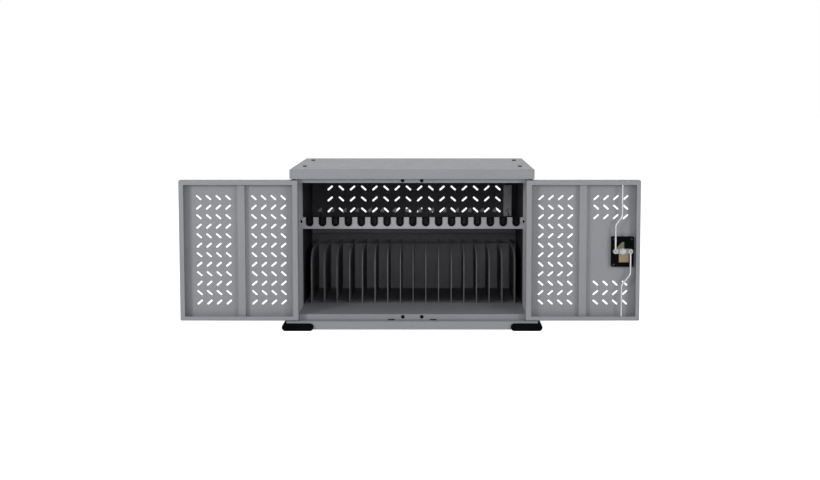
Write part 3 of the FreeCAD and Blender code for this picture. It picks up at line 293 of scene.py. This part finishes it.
def moulded(name, colour, roughness, grain=1800.0, edge_lift=1.6, depth=0.0001, gloss=0.12, painted_shade_below=None):
    """Moulded plastic or rubber with a fine grain and paler rubbed edges, perhaps painted darker below a
    level as shade.
    """
    material, tree, surface = tree_of(name, gloss)
    normal, edge = edges(tree, 0.0008)
    cloud = spread(tree, noise(tree, 18.0, 4.0), 0.0, 1.0)
    body = blend_colours(tree, cloud, shade(colour, 0.85), shade(colour, 1.18))
    rubbed = times(tree, edge, spread(tree, noise(tree, 90.0, 4.0), 0.2, 1.0))
    wear_and_painted_light = blend_colours(tree, rubbed, body, shade(colour, edge_lift))
    # Painted shade: below a level the piece turns to another, darker colour.
    if painted_shade_below:
        wear_and_painted_light = blend_colours(tree, above(tree, *painted_shade_below[1:]), painted_shade_below[0], wear_and_painted_light)
    tree.links.new(wear_and_painted_light, surface.inputs["Base Color"])
    sheen = spread(tree, noise(tree, 50.0), roughness - 0.06, roughness + 0.08)
    tree.links.new(sheen, surface.inputs["Roughness"])
    bump(tree, surface, noise(tree, grain, 2.0), 0.3, depth, normal)
    return material


def metal(name, colour, roughness, stretch, scratch=220.0, crown=None):
    """Metal with fine drawn lines along one axis, slightly stained, perhaps coated above a level."""
    material, tree, surface = tree_of(name)
    surface.inputs["Metallic"].default_value = 1.0
    normal, edge = edges(tree, 0.0005)
    stain = spread(tree, noise(tree, 40.0, 5.0), 0.0, 1.0)
    tone = blend_colours(tree, stain, shade(colour, 0.88), shade(colour, 1.06))
    bright = blend_colours(tree, edge, tone, shade(colour, 1.2))
    if crown:
        coat, level, softness = crown
        bright = blend_colours(tree, above(tree, level, softness), bright, coat)
    tree.links.new(bright, surface.inputs["Base Color"])
    lines = noise(tree, scratch, 3.0, stretch)
    tree.links.new(spread(tree, lines, roughness - 0.07, roughness + 0.1), surface.inputs["Roughness"])
    bump(tree, surface, lines, 0.12, 0.00005, normal)
    return material


# How the fine lines of a metal are stretched.
ALONG_Z = (12.0, 12.0, 0.6)
ALONG_X = (0.6, 12.0, 12.0)
ROUND = (6.0, 6.0, 6.0)

# Heights at which a piece changes colour: the clips' flags, above the painted shade on their stems, and the
# lobe above the cam bar.
FLAG_HEIGHT = 0.0135
LOBE_GAP = 0.0034
FLAG_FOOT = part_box("cable_clips")[1].z - FLAG_HEIGHT
LOBE_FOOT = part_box("cam_pins")[1].z + LOBE_GAP

MATERIALS = {
    "grey_powder_coat": powder_coat("grey_powder_coat_look", GREY, 0.46),
    "charcoal_powder_coat": powder_coat("charcoal_powder_coat_look", CHARCOAL, 0.6,
                                        edge_lift=1.3, gloss=0.15),
    "black_powder_coat": powder_coat("black_powder_coat_look", LINER, 0.6, edge_lift=1.8, gloss=0.1),
    "divider_plastic": moulded("divider_plastic_look", DIVIDER, 0.5, edge_lift=1.15),
    "foot_rubber": moulded("foot_rubber_look", RUBBER, 0.8, grain=1400.0, depth=0.0002, gloss=0.01),
    "trim_rubber": moulded("trim_rubber_look", RUBBER, 0.7, gloss=0.03),
    "clip_plastic": moulded("clip_plastic_look", CLIP_FLAG_PAINTED_LIGHT, 0.4, edge_lift=1.2,
                            painted_shade_below=(CLIP_STEM_PAINTED_SHADE, FLAG_FOOT, 0.001)),
    "strip_plastic": moulded("strip_plastic_look", BLACK, 0.42),
    "outlet_plastic": moulded("outlet_plastic_look", OUTLET, 0.4),
    "inlet_plastic": moulded("inlet_plastic_look", INLET_PAINTED_LIGHT, 0.45, edge_lift=1.2, gloss=0.2),
    "switch_plastic": moulded("switch_plastic_look", BLACK, 0.22, gloss=0.5),
    "button_plastic": moulded("button_plastic_look", RED, 0.25, edge_lift=1.3, gloss=0.5),
    "magnet_cap": moulded("magnet_cap_look", RUBBER, 0.6, gloss=0.04),
    "hinge_steel": metal("hinge_steel_look", STEEL, 0.3, ALONG_Z),
    "screw_steel": metal("screw_steel_look", STEEL, 0.32, ROUND),
    "bush_brass": metal("bush_brass_look", BRASS, 0.35, ALONG_Z),
    "lock_black": powder_coat("lock_black_look", BLACK, 0.7, edge_lift=1.8, gloss=0.02),
    "handle_black": powder_coat("handle_black_look", BLACK, 0.35, edge_lift=2.0, gloss=0.4),
    "cylinder_brass": metal("cylinder_brass_look", TAN, 0.5, ALONG_Z),
    "plug_steel": metal("plug_steel_look", STEEL, 0.25, ROUND),
    "bright_steel": metal("bright_steel_look", BAR, 0.36, ALONG_X,
                          crown=(OLIVE, LOBE_FOOT, 0.0006)),
    "rod_steel": metal("rod_steel_look", BRIGHT, 0.4, ALONG_Z),
}

# Sheets whose coat differs from the rest of their slot, all with painted light or shade: the comb, the
# posts and the floor tray are paler copies, as if lit more brightly, and the divider rail is set to the
# dim tone of the shade at the top of the bays. The inner face of the back panel is painted lighter below
# the shelf, standing in for the light that reaches the lower bays, over twice the length of the fade set
# below.
SHELF_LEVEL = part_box("shelf")[0].z
PAINTED_LIGHT_FADE = 0.06
POST_LOOK = powder_coat("post_look", POST_PAINTED_LIGHT, 0.46)
SHEETS = {
    "back_panel": powder_coat("back_panel_look", CHARCOAL, 0.6, edge_lift=1.3, gloss=0.1,
                              painted_light_below=(BACK_PAINTED_LIGHT, SHELF_LEVEL - PAINTED_LIGHT_FADE, PAINTED_LIGHT_FADE)),
    "divider_rail": powder_coat("divider_rail_look", RAIL_PAINTED_SHADE, 0.6, edge_lift=1.1, gloss=0.1),
    "floor_tray": powder_coat("floor_tray_look", TRAY_PAINTED_LIGHT, 0.55, edge_lift=1.5, gloss=0.15),
    "cable_comb": powder_coat("cable_comb_look", COMB_PAINTED_LIGHT, 0.46),
    "left_post": POST_LOOK,
    "right_post": POST_LOOK,
}

for name, item in NODES.items():
    item.data.materials.clear()
    item.data.materials.append(SHEETS.get(name, MATERIALS[SLOT_OF[name]]))


def named(rows, name):
    """The row of a list that carries a name."""
    return next(row for row in rows if row["name"] == name)


def lathe(profile, place, axis, steps=36):
    """A turned piece: rings of a radius, a height and a number of flats (0 for round) about an axis."""
    shape = bmesh.new()
    turn = Vector((0, 0, 1)).rotation_difference(axis).to_matrix()
    rings = []
    for radius, height, flats in profile:
        ring = []
        for step in range(steps):
            angle = 2 * math.pi * step / steps
            reach = radius
            if flats:
                flat = 2 * math.pi / flats
                reach *= math.cos(flat / 2) / math.cos(angle % flat - flat / 2)
            spot = Vector((reach * math.cos(angle), reach * math.sin(angle), height))
            ring.append(shape.verts.new(place + turn @ spot))
        rings.append(ring)
    for low, high in zip(rings, rings[1:]):
        for step in range(steps):
            after = (step + 1) % steps
            shape.faces.new((low[step], low[after], high[after], high[step]))
    shape.faces.new(list(reversed(rings[0])))
    shape.faces.new(rings[-1])
    return shape


def finish_piece(name, shape, body, slot):
    """Turn a finished mesh into a piece that rides on a body and takes a slot's look."""
    bmesh.ops.recalc_face_normals(shape, faces=shape.faces)
    mesh = bpy.data.meshes.new(name)
    shape.to_mesh(mesh)
    shape.free()
    for face in mesh.polygons:
        face.use_smooth = True
    mesh.set_sharp_from_angle(angle=SHARP_ANGLE)
    mesh.materials.append(MATERIALS[slot])
    item = bpy.data.objects.new(name, mesh)
    bpy.context.scene.collection.objects.link(item)
    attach(item, body)
    return item


def join(first, second):
    """Add one mesh to another."""
    mesh = bpy.data.meshes.new("joined")
    second.to_mesh(mesh)
    second.free()
    first.from_mesh(mesh)
    bpy.data.meshes.remove(mesh)


def make_camera():
    """The photograph's camera."""
    data = bpy.data.cameras.new("camera")
    data.sensor_fit = "HORIZONTAL"
    data.sensor_width = CAMERA_SENSOR
    data.lens = CAMERA_LENS
    data.shift_x, data.shift_y = CAMERA_SHIFT
    item = bpy.data.objects.new("camera", data)
    item.location = CAMERA_PLACE
    item.rotation_euler = (math.pi / 2 - CAMERA_TILT, 0, 0)
    bpy.context.scene.collection.objects.link(item)
    bpy.context.scene.camera = item


def make_lamps():
    """Large soft lamps in front and above."""
    for name, (place, size, power) in LAMPS.items():
        data = bpy.data.lights.new(name, "AREA")
        data.shape = "DISK"
        data.size = size
        data.energy = power
        item = bpy.data.objects.new(name, data)
        item.location = place
        item.rotation_euler = (AIM - place).to_track_quat("-Z", "Y").to_euler()
        bpy.context.scene.collection.objects.link(item)


def seen_directly(tree):
    """One for what the camera, a reflection or glass looks at, and zero for light on the object."""
    path = add(tree, "ShaderNodeLightPath")
    both = add(tree, "ShaderNodeMath", operation="MAXIMUM")
    tree.links.new(path.outputs["Is Camera Ray"], both.inputs[0])
    tree.links.new(path.outputs["Is Glossy Ray"], both.inputs[1])
    every = add(tree, "ShaderNodeMath", operation="MAXIMUM")
    tree.links.new(both.outputs["Value"], every.inputs[0])
    tree.links.new(path.outputs["Is Transmission Ray"], every.inputs[1])
    return every.outputs["Value"]


def make_world():
    """A white surround that lights the object gently."""
    world = bpy.data.worlds.new("studio")
    bpy.context.scene.world = world
    world.use_nodes = True
    tree = world.node_tree
    tree.nodes.clear()
    light = add(tree, "ShaderNodeBackground")
    light.inputs["Color"].default_value = (1.0, 1.0, 1.0, 1.0)
    light.inputs["Strength"].default_value = AMBIENT
    white = add(tree, "ShaderNodeBackground")
    white.inputs["Color"].default_value = (1.0, 1.0, 1.0, 1.0)
    choice = add(tree, "ShaderNodeMixShader")
    tree.links.new(seen_directly(tree), choice.inputs["Fac"])
    tree.links.new(light.outputs["Background"], choice.inputs[1])
    tree.links.new(white.outputs["Background"], choice.inputs[2])
    output = add(tree, "ShaderNodeOutputWorld")
    tree.links.new(choice.outputs["Shader"], output.inputs["Surface"])


def make_floor():
    """A white floor that keeps a soft shadow."""
    mesh = bpy.data.meshes.new("studio_floor")
    half = FLOOR_SIZE / 2
    corners = [(-half, -half, 0), (half, -half, 0), (half, half, 0), (-half, half, 0)]
    mesh.from_pydata(corners, [], [(0, 1, 2, 3)])
    floor = bpy.data.objects.new("studio_floor", mesh)
    bpy.context.scene.collection.objects.link(floor)
    material = bpy.data.materials.new("studio_white")
    material.use_nodes = True
    tree = material.node_tree
    tree.nodes.clear()
    matt = add(tree, "ShaderNodeBsdfDiffuse")
    matt.inputs["Color"].default_value = FLOOR_WHITE
    glow = add(tree, "ShaderNodeEmission")
    share = add(tree, "ShaderNodeMath", operation="MULTIPLY")
    share.inputs[1].default_value = FLOOR_GLOW
    tree.links.new(seen_directly(tree), share.inputs[0])
    tree.links.new(share.outputs["Value"], glow.inputs["Strength"])
    choice = add(tree, "ShaderNodeAddShader")
    tree.links.new(matt.outputs["BSDF"], choice.inputs[0])
    tree.links.new(glow.outputs["Emission"], choice.inputs[1])
    output = add(tree, "ShaderNodeOutputMaterial")
    tree.links.new(choice.outputs["Shader"], output.inputs["Surface"])
    mesh.materials.append(material)


def ring_of(half_length, half_width, height, steps=12):
    """The points of a slot-shaped ring about the origin, round where its length is its width."""
    straight = half_length - half_width
    points = []
    for side in (1, -1):
        for step in range(steps + 1):
            angle = math.pi * (step / steps - 0.5)
            if straight or step < steps:
                points.append(Vector((side * (straight + half_width * math.cos(angle)),
                                      side * half_width * math.sin(angle), height)))
    return points


def add_hoop(shape, profile, place):
    """Add a closed hoop, whose section is a ring of half lengths, half widths and heights."""
    rings = [[shape.verts.new(place + spot) for spot in ring_of(*step)] for step in profile]
    for first, second in zip(rings, rings[1:] + rings[:1]):
        for index in range(len(first)):
            after = (index + 1) % len(first)
            shape.faces.new((first[index], first[after], second[after], second[index]))


def make_screws(name, node, body, slot, axis, radius, head, places):
    """Pan-head screws with a hexagon socket, in place of a node's plain screws."""
    profile = [(reach * radius, rise * head, flats) for reach, rise, flats in SCREW_RINGS]
    screws = bmesh.new()
    for place in places:
        join(screws, lathe(profile, place, axis))
    item = finish_piece(name, screws, body, slot)
    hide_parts(node)


def make_back_screws():
    """The row of screws along the foot of the back panel."""
    low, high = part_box("back_screws")
    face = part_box("back_panel")[1].y
    radius = (high.z - low.z) / 2
    first, last = low.x + radius, high.x - radius
    places = [Vector((first + (last - first) * step / (BACK_SCREWS - 1), face, low.z + radius))
              for step in range(BACK_SCREWS)]
    make_screws("back_screw_heads", "back_screws", "carcass", "screw_steel", Vector((0, 1, 0)), radius,
                high.y - face, places)


def make_lock_screws():
    """The four screws of the lock housing."""
    low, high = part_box("lock_screws")
    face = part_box("lock_housing")[0].y
    places = [Vector((x, face, z)) for x in (low.x + LOCK_SCREW_RADIUS, high.x - LOCK_SCREW_RADIUS)
              for z in (low.z + LOCK_SCREW_RADIUS, high.z - LOCK_SCREW_RADIUS)]
    make_screws("lock_screw_heads", "lock_screws", "right_door", "handle_black", Vector((0, -1, 0)),
                LOCK_SCREW_RADIUS, face - low.y, places)


def make_spindle_nut():
    """A washer and a hexagon nut on the end of the spindle hold the cam bar."""
    low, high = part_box("lock_spindle")
    place = Vector(((low.x + high.x) / 2, low.y, (low.z + high.z) / 2))
    finish_piece("spindle_nut", lathe(NUT_RINGS, place, Vector((0, -1, 0))), "lock_cam", "plug_steel")


def make_lid_caps():
    """A black cap closes each stacking hole of the lid, with a black ring round its raised collar."""
    caps = bmesh.new()
    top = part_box("lid")[1].z
    dims = named(frame["record"]["mounts"], "stacking_holes")["dims"]
    half_x = dims["spacing_x_mm"] / 2000
    half_y = dims["spacing_y_mm"] / 2000
    for x in (-half_x, half_x):
        for y in (-half_y, half_y):
            place = Vector((x, y, top))
            join(caps, lathe(CAP_RINGS, place, Vector((0, 0, 1))))
            add_hoop(caps, COLLAR_SECTION, place)
    finish_piece("lid_caps", caps, "carcass", "trim_rubber")


def make_post_bumpers():
    """A black rubber bumper stands in the hole of each post's inner wall."""
    bumpers = bmesh.new()
    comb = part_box("cable_comb")
    for node, side in (("left_post", -1), ("right_post", 1)):
        low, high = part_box(node)
        wall = high.x if side < 0 else low.x
        place = Vector((wall, low.y + BUMPER_SETBACK, comb[0].z + BUMPER_RISE))
        join(bumpers, lathe(BUMPER_RINGS, place, Vector((-side, 0, 0))))
    finish_piece("post_bumpers", bumpers, "carcass", "trim_rubber")


def make_slot_trims():
    """Black edge trims in the two slots of the base that take the tip of the lower lock rod."""
    trims = bmesh.new()
    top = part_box("base_pan")[1].z
    slot = named(frame["record"]["physics"]["openings"], "base_rod_slot")
    low, high = (Vector(corner) for corner in slot["box_m"])
    middle = (low + high) / 2
    for side in (-1, 1):
        add_hoop(trims, TRIM_SECTION, Vector((side * middle.x, middle.y, top)))
    finish_piece("rod_slot_trims", trims, "carcass", "trim_rubber")


make_back_screws()
make_lock_screws()
make_spindle_nut()
make_lid_caps()
make_post_bumpers()
make_slot_trims()
make_camera()
make_lamps()
make_world()
make_floor()
bpy.context.scene.view_settings.view_transform = "Standard"
